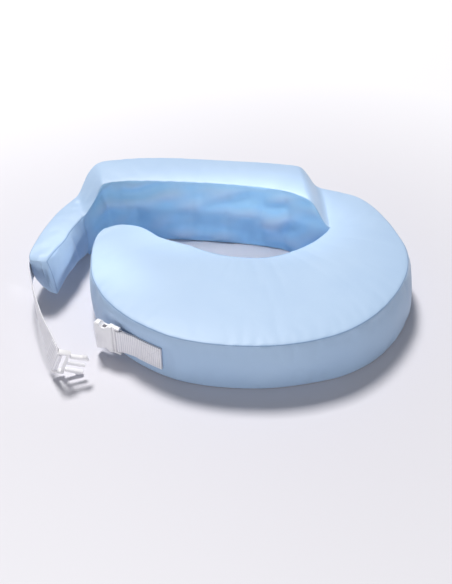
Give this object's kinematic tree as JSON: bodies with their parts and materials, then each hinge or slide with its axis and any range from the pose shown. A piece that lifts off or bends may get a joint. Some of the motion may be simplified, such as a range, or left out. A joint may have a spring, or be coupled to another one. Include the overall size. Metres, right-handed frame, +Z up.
{
  "type": "nursing pillow",
  "caption": "Wrap-around nursing pillow: a wide padded shelf, a raised backrest and a slim arm that opens, closed at the waist by a webbing strap and a side-release buckle.",
  "frame": {"origin": "on the floor under the middle of the pillow's box", "axes": "+Z up; +X along the backrest to the user's left, from the opening to the closed side; +Y from the front shelf to the backrest"},
  "size_m": [0.5851, 0.4465, 0.117],
  "materials": {
    "cover_fabric": "smooth satin",
    "foam": "open-cell foam",
    "webbing": "ribbed polypropylene webbing",
    "zip_tape": "woven tape",
    "zip_coil": "satin",
    "zip_metal": "satin",
    "buckle_plastic": "satin"
  },
  "bodies": {
    "shelf": {"shelf_foam": "foam", "shelf_top_panel": "cover_fabric", "shelf_bottom_panel": "cover_fabric", "shelf_side_band": "cover_fabric", "short_webbing": "webbing"},
    "backrest": {"backrest_foam": "foam", "backrest_top_panel": "cover_fabric", "backrest_bottom_panel": "cover_fabric", "backrest_inner_band": "cover_fabric", "backrest_rear_band": "cover_fabric", "zip_tape_upper": "zip_tape", "zip_tape_lower": "zip_tape", "zip_coil_upper": "zip_coil", "zip_coil_lower": "zip_coil", "zip_stops": "zip_coil"},
    "arm": {"arm_foam": "foam", "arm_top_panel": "cover_fabric", "arm_bottom_panel": "cover_fabric", "arm_outer_band": "cover_fabric", "arm_inner_band": "cover_fabric", "arm_end_band": "cover_fabric", "strap_anchor": "webbing"},
    "zip_slider": {"zip_slider": "zip_metal"},
    "zip_pull": {"zip_pull": "zip_metal"},
    "strap": {"long_strap": "webbing"},
    "male_buckle": {"male_buckle_frame": "buckle_plastic"},
    "latch_upper": {"latch_arm_upper": "buckle_plastic"},
    "latch_lower": {"latch_arm_lower": "buckle_plastic"},
    "female_buckle": {"female_buckle": "buckle_plastic"}
  },
  "joints": [
    {"name": "backrest_flex", "type": "hinge", "parent": "shelf", "child": "backrest", "pos_m": [0.15, 0.206, 0], "axis": [0, 0, 1], "range_deg": [-25, 2], "stiffness_Nm_per_rad": 4},
    {"name": "arm_flex", "type": "hinge", "parent": "backrest", "child": "arm", "pos_m": [-0.26, 0.136, 0], "axis": [0, 0, 1], "range_deg": [-30, 2], "stiffness_Nm_per_rad": 1},
    {"name": "strap_swing", "type": "hinge", "parent": "arm", "child": "strap", "pos_m": [-0.2906, -0.0444, 0.05], "axis": [0, 0, 1], "range_deg": [-75, 5]},
    {"name": "male_buckle_turn", "type": "hinge", "parent": "strap", "child": "male_buckle", "pos_m": [-0.2034, -0.216, 0.0325], "axis": [0.3751, -0.1401, 0.9163], "range_deg": [-5, 60]},
    {"name": "latch_upper_press", "type": "hinge", "parent": "male_buckle", "child": "latch_upper", "pos_m": [-0.18296, -0.21471, 0.04179], "axis": [-0.1573, 0.9646, 0.2118], "range_deg": [0, 7], "stiffness_Nm_per_rad": 0.6},
    {"name": "latch_lower_press", "type": "hinge", "parent": "male_buckle", "child": "latch_lower", "pos_m": [-0.19497, -0.21023, 0.01247], "axis": [-0.1573, 0.9646, 0.2118], "range_deg": [-7, 0], "stiffness_Nm_per_rad": 0.6},
    {"name": "female_buckle_turn", "type": "hinge", "parent": "shelf", "child": "female_buckle", "pos_m": [-0.127, -0.1675, 0.034], "axis": [0, 0, 1], "range_deg": [-6, 100]},
    {"name": "zip_slide", "type": "slide", "parent": "backrest", "child": "zip_slider", "axis": [1, 0, 0], "range_m": [-0.136, 0]},
    {"name": "zip_pull_flip", "type": "hinge", "parent": "zip_slider", "child": "zip_pull", "pos_m": [0.04, 0.2216, 0.02], "axis": [0, 0, 1], "range_deg": [-165, 0]}
  ],
  "couplings": [
    {"joint": "latch_lower_press", "follows": "latch_upper_press", "ratio": -1}
  ]
}
